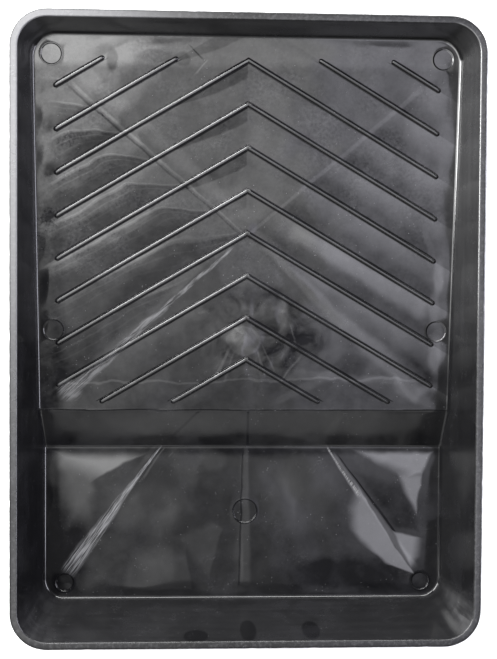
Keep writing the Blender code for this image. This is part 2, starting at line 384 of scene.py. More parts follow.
CORNER_ANGLES = [math.pi / 2 * i / CORNER_STEPS for i in range(CORNER_STEPS + 1)]
WELL_SEAM_Y = STEP_FOOT_Y - STEP_FOOT_BEND - STEP_MARGIN
RAMP_SEAM_Y = STEP_TOP_Y + STEP_TOP_BEND + STEP_MARGIN


def corner_rows(end):
    """Floor rows through a pair of corners, as (y, half width), from the straight sides to the end wall."""
    edges = [Station(1, end, angle=angle).floor_edge() for angle in CORNER_ANGLES]
    return [(edge.y, edge.x) for edge in edges]


def straight_rows(ys):
    """Floor rows between straight sides."""
    return [(y, Station(1, 1, y=y).floor_edge().x) for y in ys]


def step_ys():
    """Rows down the step, closest together where it bends."""
    foot = spaced(STEP_FOOT_Y - STEP_FOOT_BEND, STEP_FOOT_Y + STEP_FOOT_BEND, 0.3 * MM)
    face = spaced(STEP_FOOT_Y + STEP_FOOT_BEND, STEP_TOP_Y - STEP_TOP_BEND, ROW_SPACING)
    brow = spaced(STEP_TOP_Y - STEP_TOP_BEND, STEP_TOP_Y + STEP_TOP_BEND, 0.5 * MM)
    return [WELL_SEAM_Y, *foot, *face[1:-1], *brow, RAMP_SEAM_Y]


far_corner = corner_rows(1)
near_corner = corner_rows(-1)
WELL_ROWS = near_corner[:0:-1] + straight_rows(spaced(near_corner[0][0], WELL_SEAM_Y, ROW_SPACING))
STEP_ROWS = straight_rows(step_ys())
RAMP_ROWS = straight_rows(spaced(RAMP_SEAM_Y, far_corner[0][0], ROW_SPACING)) + far_corner[1:]
COLUMN_SHARES = [2 * i / COLUMNS - 1 for i in range(COLUMNS + 1)]


def side_stations(side):
    """Stations up a straight side, on the floor's rows."""
    rows = WELL_ROWS[CORNER_STEPS + 1:] + STEP_ROWS[1:] + RAMP_ROWS[1:-CORNER_STEPS - 1]
    return [Station(side, 1, y=y) for y, _ in rows]


def end_stations(end):
    """Stations round an end, with both its corners, from right to left."""
    right = [Station(1, end, angle=angle) for angle in CORNER_ANGLES]
    left = [Station(-1, end, angle=angle) for angle in reversed(CORNER_ANGLES)]
    half_x = corner_rows(end)[-1][1]
    middle = [Station(1, end, x=share * half_x) for share in reversed(COLUMN_SHARES[1:-1])]
    return right + middle + left


RIGHT = side_stations(1)
LEFT = side_stations(-1)
FAR = end_stations(1)
NEAR = end_stations(-1)


# ------------------------------------------------------------------ rim and walls


def rim_wear(corner):
    """How far nicks and rough grain have taken the rim's outer edge back at this place."""
    x, y, _ = corner / MM
    nicks = max(0.0, noise.noise(Vector((x / 6, y / 6, 4.0))))
    grain = abs(noise.noise(Vector((x / 1.7, y / 1.7, 9.0))))
    return nicks * RIM_NICKS + grain * RIM_GRAIN


def rim_section(station):
    """The rim's band with its rounded edges, and the uppermost strip of wall under it."""
    out = station.outward.to_3d()
    down = Vector((0.0, 0.0, -1.0))
    inner, outer = RIM_INNER_ROUNDING, RIM_OUTER_ROUNDING
    corner = station.point(0.0)
    edge = corner + out * (RIM_BAND - rim_wear(corner))
    under = edge + down * RIM_THICKNESS
    nook = station.point(RIM_THICKNESS, WALL)
    below_nook = station.point(RIM_THICKNESS + outer, WALL)
    loop = [station.point(RIM_SEAM_DEPTH)]
    loop += between(loop[0], station.point(inner), 4)
    loop += [station.point(inner), *arc(station.point(inner), corner, corner + out * inner, 5)]
    loop += [corner + out * inner, *between(corner + out * inner, edge - out * outer, 4)]
    loop += [edge - out * outer, *arc(edge - out * outer, edge, edge + down * outer, 5)]
    loop += [edge + down * outer, under - down * outer]
    loop += [*arc(under - down * outer, under, under - out * outer, 4), under - out * outer]
    loop += [nook + out * outer, *arc(nook + out * outer, nook, below_nook, 4)]
    loop += [below_nook, station.point(RIM_SEAM_DEPTH, WALL)]
    return loop


def warped_wall(station, foot_depth):
    """Points down a wall's inner face, from the rim's strip to the fillet, with the wall's slow warps."""
    points = []
    for i in range(1, WALL_ROWS):
        share = i / WALL_ROWS
        depth = RIM_SEAM_DEPTH + (foot_depth - RIM_SEAM_DEPTH) * share
        plain = station.point(depth)
        x, y, z = plain / MM
        warp = WALL_WARP * noise.noise(Vector((x / 28, y / 28, z / 45)))
        warp += WALL_RIPPLE * noise.noise(Vector((x / 7, y / 7, z / 30)))
        fade = smooth(5 * share) * smooth(5 * (1 - share))
        points.append(plain + station.outward.to_3d() * warp * fade * MM)
    return points


def wall_section(station):
    """A wall from the rim's strip down to the fillet on the floor, and back up its outer face."""
    inner_depth = station.floor_depth()
    outer_depth = station.floor_depth(WALL, FLOOR)
    inner_edge = station.floor_edge()
    outer_edge = station.floor_edge(FLOOR)
    inner_top = station.point(RIM_SEAM_DEPTH)
    outer_top = station.point(RIM_SEAM_DEPTH, WALL)
    inner_corner = station.point(inner_depth)
    outer_corner = station.point(outer_depth, WALL)
    reach = (outer_corner - outer_edge).to_2d().length
    inner_foot = station.point(inner_depth - FILLET)
    outer_foot = station.point(outer_depth - reach, WALL)
    loop = [inner_top, *warped_wall(station, inner_depth - FILLET), inner_foot]
    loop += [*arc(inner_foot, inner_corner, inner_edge, 7), inner_edge, outer_edge]
    loop += [*arc(outer_edge, outer_corner, outer_foot, 8), outer_foot]
    loop += [*between(outer_foot, outer_top, 12), outer_top]
    return loop


def split_sides(stations):
    """The stations of a straight side that lie within the side wall, and those beyond each of its ends."""
    near = [s for s in stations if s.y <= -WALL_SPLIT_Y]
    far = [s for s in stations if s.y >= WALL_SPLIT_Y]
    middle = [s for s in stations if abs(s.y) < WALL_SPLIT_Y]
    return near, [near[-1], *middle, far[0]], far


def build_rim():
    """The whole rim as one ring."""
    ring = RIGHT + FAR + LEFT[::-1] + NEAR[::-1]
    return {"rim": skin("rim_band", [rim_section(station) for station in ring], closed=True)}


def build_walls():
    """Two side walls, and two end walls that hold the rounded corners."""
    right_near, right, right_far = split_sides(RIGHT)
    left_near, left, left_far = split_sides(LEFT)
    runs = {
        "right_wall": right,
        "left_wall": left,
        "ramp_end_wall": right_far + FAR + left_far[::-1],
        "well_end_wall": right_near[::-1] + NEAR + left_near,
    }
    return {node: skin(f"{node}_skin", [wall_section(s) for s in run]) for node, run in runs.items()}


# ------------------------------------------------------------------ floor


def mark_patch(bm, border, centre, radius, depth):
    """Fill a hole in the floor with the rings of an ejector pin's mark."""
    x, y = centre
    steps = (0.9, 0.6, 0.35, 0.15, 0.0, -0.12, -0.24, -0.36, -0.48, -0.8)
    rings = [radius + step * MM for step in steps] + [radius * 0.6, radius * 0.3]
    loop = border
    for ring in rings:
        points = []
        for vert in border:
            away = math.atan2(vert.co.y - y, vert.co.x - x)
            px, py = x + ring * math.cos(away), y + ring * math.sin(away)
            height = floor_height(py) + relief(px, py) + mark_profile(ring, radius, depth)
            points.append(bm.verts.new((px, py, height)))
        join_loops(bm, loop, points)
        loop = points
    bm.faces.new(loop)


def hole_block(rows, centre, reach):
    """The rows and columns of the floor's grid that bound the hole for a mark."""
    x, y = centre
    first_row = max(i for i, row in enumerate(rows) if row[0] <= y - reach)
    last_row = min(i for i, row in enumerate(rows) if row[0] >= y + reach)
    half_x = min(rows, key=lambda row: abs(row[0] - y))[1]
    first = max(i for i, share in enumerate(COLUMN_SHARES) if share * half_x <= x - reach)
    last = min(i for i, share in enumerate(COLUMN_SHARES) if share * half_x >= x + reach)
    return first_row, last_row, first, last


def floor_slab(name, rows, marks=()):
    """A stretch of the floor: its upper surface with relief and marks, its flat underside and its edges."""
    bm = bmesh.new()
    grids = []
    for drop in (0.0, FLOOR):
        grid = []
        for y, half_x in rows:
            xs = [share * half_x for share in COLUMN_SHARES]
            rise = [relief(x, y) if drop == 0.0 else 0.0 for x in xs]
            level = floor_height(y, drop)
            grid.append([bm.verts.new((x, y, level + up)) for x, up in zip(xs, rise)])
        grids.append(grid)
    upper, lower = grids
    holes = []
    for centre, radius, depth in marks:
        holes.append((hole_block(rows, centre, radius + MARK_HOLE_MARGIN), centre, radius, depth))
    for i in range(len(rows) - 1):
        for j in range(COLUMNS):
            bm.faces.new((lower[i][j], lower[i + 1][j], lower[i + 1][j + 1], lower[i][j + 1]))
            if not any(a <= i < b and c <= j < d for (a, b, c, d), *_ in holes):
                bm.faces.new((upper[i][j], upper[i][j + 1], upper[i + 1][j + 1], upper[i + 1][j]))
    for i in range(len(rows) - 1):
        for j in (0, COLUMNS):
            bm.faces.new((upper[i][j], upper[i + 1][j], lower[i + 1][j], lower[i][j]))
    for j in range(COLUMNS):
        for i in (0, len(rows) - 1):
            bm.faces.new((upper[i][j], upper[i][j + 1], lower[i][j + 1], lower[i][j]))
    for (a, b, c, d), centre, radius, depth in holes:
        border = [upper[a][j] for j in range(c, d)] + [upper[i][d] for i in range(a, b)]
        border += [upper[b][j] for j in range(d, c, -1)] + [upper[i][c] for i in range(b, a, -1)]
        mark_patch(bm, border, centre, radius, depth)
    bmesh.ops.delete(bm, geom=[v for v in bm.verts if not v.link_faces], context="VERTS")
    return finish_mesh(name, bm)


def build_floor():
    """Ramp, step and well floor."""
    ramp_marks = [((x * MM, y * MM), RAMP_MARK_RADIUS, RAMP_MARK_DEPTH) for x, y in RAMP_MARKS]
    well_marks = [((x * MM, y * MM), WELL_MARK_RADIUS, WELL_MARK_DEPTH) for x, y in WELL_MARKS]
    centre_x, centre_y = CENTRE_MARK
    well_marks.append(((centre_x * MM, centre_y * MM), CENTRE_MARK_RADIUS, CENTRE_MARK_DEPTH))
    return {
        "ramp": floor_slab("ramp_skin", RAMP_ROWS, ramp_marks),
        "step": floor_slab("step_skin", STEP_ROWS),
        "well_floor": floor_slab("well_floor_skin", WELL_ROWS, well_marks),
    }


# ------------------------------------------------------------------ ribs


def rib_profile():
    """Half of a rib's section from its crown outwards, as (distance aside, height)."""
    points = []
    for i in range(7):
        turn = math.pi / 2 * i / 7
        points.append((RIB_HALF_WIDTH * math.sin(turn) ** 0.8, RIB_HEIGHT * math.cos(turn) ** 0.7))
    for i in range(1, 5):
        turn = math.pi / 2 * i / 4
        aside = RIB_HALF_WIDTH + RIB_FLARE * (1 - math.cos(turn))
        points.append((aside, RIB_FLARE * (1 - math.sin(turn)) - 0.02 * MM))
    points.append((RIB_HALF_WIDTH + RIB_FLARE, -RIB_SINK))
    return points


def rib_section(centre, across, size):
    """A rib's closed section at a point of its path; size shrinks it towards a rounded end."""
    half = rib_profile()
    outline = [(aside, height) for aside, height in reversed(half)]
    outline += [(-aside, height) for aside, height in half[1:]]
    points = []
    for aside, height in outline:
        x = centre.x + across.x * aside * size
        y = centre.y + across.y * aside * size
        lift = height * (size if height > 0 else 1.0)
        points.append(Vector((x, y, floor_height(y) + relief(x, y) + lift)))
    return points


def rib(name, path):
    """A raised bead along a path on the ramp, with rounded ends and a mitred bend."""
    sections = []
    full = RIB_HALF_WIDTH + RIB_FLARE
    along = [(b - a).normalized() for a, b in zip(path, path[1:])]
    for run, (a, b) in enumerate(zip(path, path[1:])):
        direction = along[run]
        across = Vector((-direction.y, direction.x))
        if run == 0:
            for turn in (84, 60, 40, 20):
                back = full * math.sin(math.radians(turn))
                sections.append(rib_section(a - direction * back, across, math.cos(math.radians(turn))))
        steps = math.ceil((b - a).length / (2 * MM))
        for i in range(steps + 1):
            at_bend = i == steps and run + 1 < len(along)
            if i == 0 and run > 0:
                continue
            sideways = across
            if at_bend:
                middle = (across + Vector((-along[run + 1].y, along[run + 1].x))).normalized()
                sideways = middle / middle.dot(across)
            sections.append(rib_section(a.lerp(b, i / steps), sideways, 1.0))
        if run == len(along) - 1:
            for turn in (20, 40, 60, 84):
                on = full * math.sin(math.radians(turn))
                sections.append(rib_section(b + direction * on, across, math.cos(math.radians(turn))))
    return skin(name, sections)


def build_ribs():
    """Chevrons down the ramp, and the stubs of the rows whose point lies past the window's far edge."""
    made = {}
    chevrons = 0
    stub_rows = 0
    for row in range(RIB_ROWS):
        apex_y = FIRST_APEX_Y - RIB_PITCH * row
        inner_x = max(0.0, (apex_y - RIB_WINDOW_FAR_Y) / RIB_SLOPE)
        outer_x = min(RIB_WINDOW_X, (apex_y - RIB_WINDOW_NEAR_Y) / RIB_SLOPE)
        inner = Vector((inner_x, apex_y - RIB_SLOPE * inner_x))
        outer = Vector((outer_x, apex_y - RIB_SLOPE * outer_x))
        mirrored = [Vector((-outer.x, outer.y)), Vector((-inner.x, inner.y))]
        if inner_x > 0.0:
            stub_rows += 1
            made[f"stub_rib_left_{stub_rows}"] = rib(f"stub_bead_left_{stub_rows}", mirrored)
            made[f"stub_rib_right_{stub_rows}"] = rib(f"stub_bead_right_{stub_rows}", [inner, outer])
        else:
            chevrons += 1
            path = [mirrored[0], inner, outer]
            made[f"chevron_rib_{chevrons}"] = rib(f"chevron_bead_{chevrons}", path)
    return made


# ------------------------------------------------------------------ legs


def leg_point(side, place, share, z, offset):
    """A point on a leg's blade. place is side, corner or end; share is how far along it, and z the height."""
    depth = RIM_TOP - z
    flank = LEG_FLANK_RUN * depth / (RIM_TOP + LEG_FLANK_BELOW)
    if place == "corner":
        return Station(side, 1, angle=share).point(depth, offset)
    if place == "side":
        start = RIM_HALF_Y - LEG_END_REACH + flank
        stop = Station(side, 1, angle=0.0).plan(depth).y
        return Station(side, 1, y=start + (stop - start) * share).point(depth, offset)
    start = Station(side, 1, angle=math.pi / 2).plan(depth).x
    stop = side * (RIM_HALF_X - LEG_SIDE_REACH + flank)
    return Station(side, 1, x=start + (stop - start) * share).point(depth, offset)


def leg_section(side, place, share):
    """The blade's thickness from just under the wall's rounded foot to the ground."""
    z = RIM_TOP - RAMP_END_DEPTH
    for _ in range(3):
        y = leg_point(side, place, share, z, WALL).y
        z = floor_height(y, FLOOR) + WALL + FILLET - LEG_TUCK
    tucked = floor_height(y, FLOOR) + LEG_EMBED
    low = LEG_ROUNDING
    outer_top, outer_low = (leg_point(side, place, share, height, WALL) for height in (z, low))
    inner_low, inner_top = (leg_point(side, place, share, height, 0.0) for height in (low, tucked))
    outer_foot, inner_foot = (leg_point(side, place, share, 0.0, offset) for offset in (WALL, 0.0))
    inward = (inner_foot - outer_foot).normalized() * low
    loop = [outer_top, *between(outer_top, outer_low, 8), outer_low]
    loop += [*arc(outer_low, outer_foot, outer_foot + inward, 3), outer_foot + inward]
    loop += [inner_foot - inward, *arc(inner_foot - inward, inner_foot, inner_low, 3), inner_low]
    loop += [*between(inner_low, inner_top, 8), inner_top]
    return loop


def build_legs():
    """The shallow end's two corners carried down to the ground."""
    made = {}
    for side, node in ((-1, "left_leg"), (1, "right_leg")):
        places = [("side", share / 16) for share in range(16)]
        places += [("corner", angle) for angle in CORNER_ANGLES]
        places += [("end", share / 12) for share in range(1, 13)]
        leg = skin(f"{node}_blade", [leg_section(side, place, share) for place, share in places])
        edges = leg.modifiers.new("rounded flanks", "BEVEL")
        edges.width = 0.35 * MM
        edges.segments = 2
        edges.limit_method = "ANGLE"
        edges.angle_limit = math.radians(60)
        made[node] = leg
    return made


# ------------------------------------------------------------------ materials


class Graph:
    """Small helper that adds nodes to a material and wires them up."""

    def __init__(self, name):
        self.material = bpy.data.materials.new(name)
        self.material.use_nodes = True
        self.tree = self.material.node_tree
        self.shader = self.tree.nodes["Principled BSDF"]
        self.place = self.tree.nodes.new("ShaderNodeTexCoord").outputs["Object"]
        self.split = self.tree.nodes.new("ShaderNodeSeparateXYZ")
        self.tree.links.new(self.place, self.split.inputs[0])
        self.geometry = self.tree.nodes.new("ShaderNodeNewGeometry")
        self.drifts = {}
        self.flat = self.vector("MULTIPLY", self.place, (1 / MM, 1 / MM, 0.0))
        flat = self.tree.nodes.new("ShaderNodeSeparateXYZ")
        self.put(self.flat, flat.inputs[0])
        self.x, self.y = flat.outputs[0], flat.outputs[1]
        self.drift = self.vector("SUBTRACT", self.coloured_noise(0.016), (0.5, 0.5, 0.5))

    def put(self, value, socket):
        """Wire a socket to another, or set it to a number."""
        if isinstance(value, bpy.types.NodeSocket):
            self.tree.links.new(value, socket)
        else:
            socket.default_value = value

    def math(self, operation, first, second=0.0):
        node = self.tree.nodes.new("ShaderNodeMath")
        node.operation = operation
        self.put(first, node.inputs[0])
        self.put(second, node.inputs[1])
        return node.outputs[0]

    def add(self, first, *others):
        for other in others:
            first = self.math("ADD", first, other)
        return first

    def times(self, first, *others):
        for other in others:
            first = self.math("MULTIPLY", first, other)
        return first

    def ramp(self, value, low, high, start=0.0, end=1.0):
        """Smooth rise from start to end while value goes from low to high."""
        node = self.tree.nodes.new("ShaderNodeMapRange")
        node.interpolation_type = "SMOOTHSTEP"
        self.put(value, node.inputs["Value"])
        for name, number in (("From Min", low), ("From Max", high), ("To Min", start), ("To Max", end)):
            node.inputs[name].default_value = number
        return node.outputs["Result"]

    def streaked(self, stretch, degrees):
        """Coordinates drawn out along the floor in this direction, counted from +X."""
        node = self.tree.nodes.new("ShaderNodeMapping")
        node.vector_type = "TEXTURE"
        self.put(self.place, node.inputs["Vector"])
        node.inputs["Rotation"].default_value = (0.0, 0.0, math.radians(degrees))
        node.inputs["Scale"].default_value = (stretch, 1.0, 1.0)
        return node.outputs["Vector"]

    def squeezed(self, x, y, z):
        """Coordinates scaled along each axis; below 1 draws what is laid on them out along it."""
        node = self.tree.nodes.new("ShaderNodeMapping")
        node.inputs["Scale"].default_value = (x, y, z)
        self.put(self.place, node.inputs["Vector"])
        return node.outputs["Vector"]

    def noise(self, length, detail=2.0, roughness=0.5, place=None, distortion=0.0):
        """Noise with features of this size in metres."""
        node = self.tree.nodes.new("ShaderNodeTexNoise")
        self.put(place or self.place, node.inputs["Vector"])
        node.inputs["Scale"].default_value = 1.0 / length
        node.inputs["Detail"].default_value = detail
        node.inputs["Roughness"].default_value = roughness
        node.inputs["Distortion"].default_value = distortion
        return node.outputs["Fac"]

    def coloured_noise(self, length):
        """Three unrelated noises at once."""
        node = self.tree.nodes.new("ShaderNodeTexNoise")
        self.put(self.place, node.inputs["Vector"])
        node.inputs["Scale"].default_value = 1.0 / length
        return node.outputs["Color"]

    def specks(self, length):
        """Distance from the nearest of many points scattered this far apart in metres, in units of that."""
        node = self.tree.nodes.new("ShaderNodeTexVoronoi")
        self.put(self.place, node.inputs["Vector"])
        node.inputs["Scale"].default_value = 1.0 / length
        return node.outputs["Distance"]

    def blend(self, share, first, second):
        """Mix of two colours. Inputs 6 and 7 and output 2 are the node's colour sockets."""
        node = self.tree.nodes.new("ShaderNodeMix")
        node.data_type = "RGBA"
        self.put(share, node.inputs[0])
        self.put(first, node.inputs[6])
        self.put(second, node.inputs[7])
        return node.outputs[2]

    def vector(self, operation, first, second=(0.0, 0.0, 0.0)):
        node = self.tree.nodes.new("ShaderNodeVectorMath")
        node.operation = operation
        self.put(first, node.inputs[0])
        if operation != "LENGTH":
            self.put(second, node.inputs[1])
        return node.outputs["Value" if operation in ("DOT_PRODUCT", "LENGTH") else "Vector"]

    def drifted(self, wander):
        """Place on the floor in mm, pushed about by up to this much so that outlines run unevenly."""
        if wander not in self.drifts:
            push = self.vector("MULTIPLY", self.drift, (2.0 * wander, 2.0 * wander, 0.0))
            self.drifts[wander] = self.vector("ADD", self.flat, push)
        return self.drifts[wander]

    def along_line(self, start, end, width_start, width_end, wander=1.0, strength=1.0):
        """A stretch of line across the floor, fading out over the given widths; all in mm."""
        way = Vector(end) - Vector(start)
        length = way.length
        ux, uy = way / length
        from_start = self.vector("SUBTRACT", self.drifted(wander), (start[0], start[1], 0.0))
        along = self.vector("DOT_PRODUCT", from_start, (ux, uy, 0.0))
        aside = self.math("ABSOLUTE", self.vector("DOT_PRODUCT", from_start, (-uy, ux, 0.0)))
        width = self.ramp(along, 0.0, length, width_start, width_end)
        mask = self.ramp(self.math("DIVIDE", aside, width), 0.3, 1.0, strength, 0.0)
        return self.times(mask, self.ramp(along, -3, 3), self.ramp(along, length - 6, length, 1.0, 0.0))

    def patch(self, corners, edges, strength=1.0):
        """A convex patch of the floor, given by its corners in mm, anticlockwise.

        edges says over how many mm the patch fades out along each side.
        """
        inside = None
        place = self.drifted(2.0)
        for (ax, ay), (bx, by), soft in zip(corners, corners[1:] + corners[:1], edges):
            length = math.hypot(bx - ax, by - ay) * soft
            nx, ny = (ay - by) / length, (bx - ax) / length
            depth = self.add(self.vector("DOT_PRODUCT", place, (nx, ny, 0.0)), -(ax * nx + ay * ny))
            inside = depth if inside is None else self.math("MINIMUM", inside, depth)
        return self.ramp(inside, -0.2, 0.8, 0.0, strength)

    def from_outer_edge(self):
        """Distance from the rim's outer edge in mm, counted inwards and round the corners."""
        dx = self.add(self.math("ABSOLUTE", self.x), -(RIM_HALF_X - RIM_CORNER) / MM)
        dy = self.add(self.math("ABSOLUTE", self.y), -(RIM_HALF_Y - RIM_CORNER) / MM)
        dx, dy = self.math("MAXIMUM", dx, 0.0), self.math("MAXIMUM", dy, 0.0)
        away = self.math("SQRT", self.add(self.times(dx, dx), self.times(dy, dy)))
        return self.math("SUBTRACT", RIM_CORNER / MM, away)

    def spot(self, x, y, reach_x, reach_y, soft=0.25, strength=1.0):
        """An oval on the floor, all in mm; soft is how much of its reach its edge fades over."""
        away = self.vector("SUBTRACT", self.drifted(2.0), (x, y, 0.0))
        away = self.vector("LENGTH", self.vector("MULTIPLY", away, (1 / reach_x, 1 / reach_y, 0.0)))
        return self.ramp(away, 1 - soft / 2, 1 + soft / 2, strength, 0.0)

    def ring(self, x, y, radius, width, strength=1.0):
        """A thin round line on the floor; all in mm."""
        away = self.vector("LENGTH", self.vector("SUBTRACT", self.flat, (x, y, 0.0)))
        off_line = self.math("ABSOLUTE", self.add(away, -radius))
        return self.ramp(off_line, 0.4 * width, width, strength, 0.0)

    def wall_spot(self, x, z, reach_x, reach_z):
        """1 inside an oval on the end walls; all in mm."""
        away = self.vector("SUBTRACT", self.place, (x * MM, 0.0, z * MM))
        away = self.vector("MULTIPLY", away, (1 / (reach_x * MM), 0.0, 1 / (reach_z * MM)))
        return self.ramp(self.vector("LENGTH", away), 0.85, 1.1, 1.0, 0.0)

    def painted(self, *groups):
        """Sum of masks. Each group is the method that makes them and a table of its arguments.

        A material of about 1200 nodes renders black, so a mask's strength goes into its own last node.
        """
        total = None
        for mask, rows in groups:
            for row in rows:
                stroke = mask(*row)
                total = stroke if total is None else self.add(total, stroke)
        return total


def scratches(graph, degrees, length, stretch):
    """Sparse hairline scratches in one direction."""
    streak = graph.noise(length, 1.0, 0.5, graph.streaked(stretch, degrees))
    line = graph.ramp(graph.math("ABSOLUTE", graph.math("SUBTRACT", streak, 0.5)), 0.0, 0.010, 1.0, 0.0)
    sparse = graph.ramp(graph.noise(0.014, 2.0, 0.6), 0.60, 0.68)
    return graph.times(line, sparse)


def bay_gloss(graph):
    """Gloss of the ramp's bays: duller lenses along the ribs, with thin brighter lines round them."""
    across = graph.math("ABSOLUTE", graph.x)
    rows = graph.math("SUBTRACT", FIRST_APEX_Y / MM, graph.add(graph.y, graph.times(across, RIB_SLOPE)))
    share = graph.math("FRACT", graph.times(rows, MM / RIB_PITCH))
    left = graph.ramp(graph.x, -1.0, 0.0, 1.0, 0.0)
    right = graph.math("SUBTRACT", 1.0, left)
    ramp_only = graph.ramp(graph.y, -46, -43)
    beyond = graph.times(graph.math("ABSOLUTE", graph.add(graph.y, -62)), 1.15)
    from_leaders = graph.math("SUBTRACT", across, beyond)
    slow = graph.tree.nodes.new("ShaderNodeSeparateXYZ")
    graph.put(graph.vector("SUBTRACT", graph.coloured_noise(0.024), (0.5, 0.5, 0.5)), slow.inputs[0])
    from_leaders = graph.add(from_leaders, graph.times(slow.outputs[0], 12.0))
    wobble = graph.times(slow.outputs[1], 0.24)

    # Left bays: a dull lens over each rib, from its outer end to the flow leader
    bound = graph.ramp(from_leaders, 4, 44, 1.05, 0.24)
    upper = graph.ramp(graph.y, 10, 80)
    bound = graph.times(bound, graph.add(graph.times(upper, 0.9), 0.1))
    inside = graph.math("SUBTRACT", graph.add(share, wobble), bound)
    sector = graph.ramp(from_leaders, -2, 6)
    off_border = graph.ramp(across, 112, 122, 1.0, 0.1)
    lens = graph.times(graph.ramp(inside, -0.02, 0.03), sector, left, off_border)
    rings = None
    for level, strength in ((-0.06, 0.8), (0.16, 0.5), (0.38, 0.35)):
        ring = graph.ramp(graph.math("ABSOLUTE", graph.add(inside, -level)), 0.0, 0.035, strength, 0.0)
        rings = ring if rings is None else graph.add(rings, ring)
    rings = graph.times(rings, sector, left, off_border)

    # Dark wedges under the ribs near their points
    wedge_reach = graph.ramp(across, 2, 62, 0.42, 0.0)
    high = graph.ramp(graph.y, 60, 90)
    wedge = graph.add(wedge_reach, graph.times(wobble, 0.6))
    wedge = graph.ramp(graph.math("SUBTRACT", wedge, share), 0.0, 0.05)
    wedge = graph.times(wedge, high, graph.add(graph.times(left, 0.9), graph.times(right, 0.25)))

    # Right bays: brighter under each rib beyond the leader, duller above the next
    right_inside = graph.math("SUBTRACT", graph.add(share, graph.times(wobble, 1.5)), 0.55)
    right_dull = graph.times(
        graph.ramp(right_inside, -0.2, 0.2), graph.ramp(from_leaders, 0, 14), right, off_border
    )
    right_light = graph.times(
        graph.ramp(right_inside, -0.5, -0.1, 1.0, 0.0), graph.ramp(from_leaders, 0, 8), right
    )

    from_middle = graph.math("ABSOLUTE", graph.add(share, -0.5))
    rib = graph.ramp(from_middle, 0.425, 0.435)
    foot = graph.times(graph.ramp(from_middle, 0.405, 0.42), graph.ramp(from_middle, 0.45, 0.465, 1.0, 0.0))
    window = graph.times(
        graph.ramp(across, RIB_WINDOW_X / MM - 0.5, RIB_WINDOW_X / MM + 0.5, 1.0, 0.0),
        graph.ramp(graph.y, RIB_WINDOW_FAR_Y / MM - 0.5, RIB_WINDOW_FAR_Y / MM + 0.5, 1.0, 0.0),
        graph.ramp(rows, 9.5 * RIB_PITCH / MM, 9.6 * RIB_PITCH / MM, 1.0, 0.0),
        graph.ramp(graph.y, RIB_WINDOW_NEAR_Y / MM - 0.5, RIB_WINDOW_NEAR_Y / MM + 0.5),
    )
    rib = graph.times(rib, window)
    foot = graph.times(foot, window)
    change = graph.add(
        graph.times(lens, -0.22),
        graph.times(rings, 0.20),
        graph.times(wedge, -0.26),
        graph.times(right_dull, -0.26),
        graph.times(right_light, 0.22),
    )
    change = graph.times(change, graph.math("SUBTRACT", 1.0, rib), ramp_only)
    rib_gloss = graph.times(rib, graph.add(graph.times(left, 0.36), 0.14))
    gloss = graph.add(change, rib_gloss, graph.times(foot, graph.add(graph.times(left, -0.16), -0.30)))
    return gloss, rib


# Ovals on the ramp: place, reach across and along, softness of the edge, change of gloss
RAMP_SPOTS = (
    (-1.5, -6, 10.5, 9, 0.16, 0.28),
    (-6, -3, 7, 5.5, 0.9, 0.56),
    (22, 11, 3.5, 9, 0.7, 0.28),
    (32, 0, 8, 11, 0.6, -0.14),
    (40, -7, 8, 9, 0.35, -0.14),
    (46, -2, 7, 10, 0.5, -0.12),
    (22, -18, 10, 12, 0.3, -0.18),
    (4, 22, 20, 6, 0.6, -0.20),
    (-6, 78, 20, 10, 0.6, 0.14),
    (13, 120, 13, 32, 0.9, 0.14),
    (-84, 116, 24, 26, 0.9, -0.12),
    (84, 84, 20, 28, 0.9, 0.14),
    (50, 48, 24, 18, 0.9, 0.16),
    (66, -22, 11, 8, 0.5, -0.14),
    (115, -40, 9, 7, 0.8, 0.14),
    (119, 33, 3.0, 11, 0.8, 0.30),
    (117, 15, 3.5, 9, 0.8, 0.22),
    (118, -14, 4.0, 11, 0.8, 0.32),
    (112, 118, 14, 44, 0.9, 0.24),
    (-120, 125, 3.5, 5, 0.9, -0.16),
    (-120, 96, 4.0, 4.5, 0.9, -0.16),
    (-120, 69, 3.5, 5, 0.9, -0.16),
    (-82, 163, 3.5, 7, 0.5, -0.32),
    (-55, 165, 11, 3.5, 0.5, -0.26),
    (-40, 164, 5, 4, 0.5, -0.30),
)

# Lines on the ramp: start, end, width at each, wander, change of gloss
RAMP_LINES = (
    ((-11, -12), (-20, -33), 1.2, 1.6, 1.0, 0.34),
    ((-8, -14), (-14, -34), 0.8, 1.2, 1.0, 0.18),
    ((7, -12), (13, -31), 0.9, 1.2, 1.0, 0.26),
    ((10, -9), (19, -27), 0.7, 0.9, 1.0, 0.22),
    ((34, -16), (20, -33), 0.9, 0.9, 2.0, 0.26),
    ((27, 4), (31, -10), 0.6, 1.0, 3.0, 0.26),
    ((10, 52), (112, -42), 4.0, 9.0, 4.0, 0.30),
    ((2, 60), (108, 150), 1.4, 2.2, 1.0, 0.20),
    ((-2, 60), (-108, 150), 0.8, 1.4, 1.0, 0.22),
    ((-5, 60), (-111, 149), 0.8, 1.0, 1.0, -0.20),
    ((-8, 76), (-104, 158), 5.0, 8.0, 4.0, 0.14),
    ((-110, -32), (112, -30), 1.0, 1.2, 4.0, 0.22),
    ((10, -26), (100, -32), 5.0, 3.0, 4.0, 0.16),
    ((20, -44), (60, -24), 3.0, 5.0, 2.0, 0.14),
    ((111, 62), (120, 22), 3.0, 5.0, 3.0, 0.14),
    ((92, -27), (110, -46), 2.0, 3.0, 2.0, 0.12),
    ((26, 62), (114, 12), 6.0, 9.0, 2.0, 0.32),
    ((-36, 172), (-25, 162), 0.5, 0.9, 1.0, -0.35),
    ((-25, 163), (-34, 153), 0.6, 0.9, 1.0, 0.35),
)


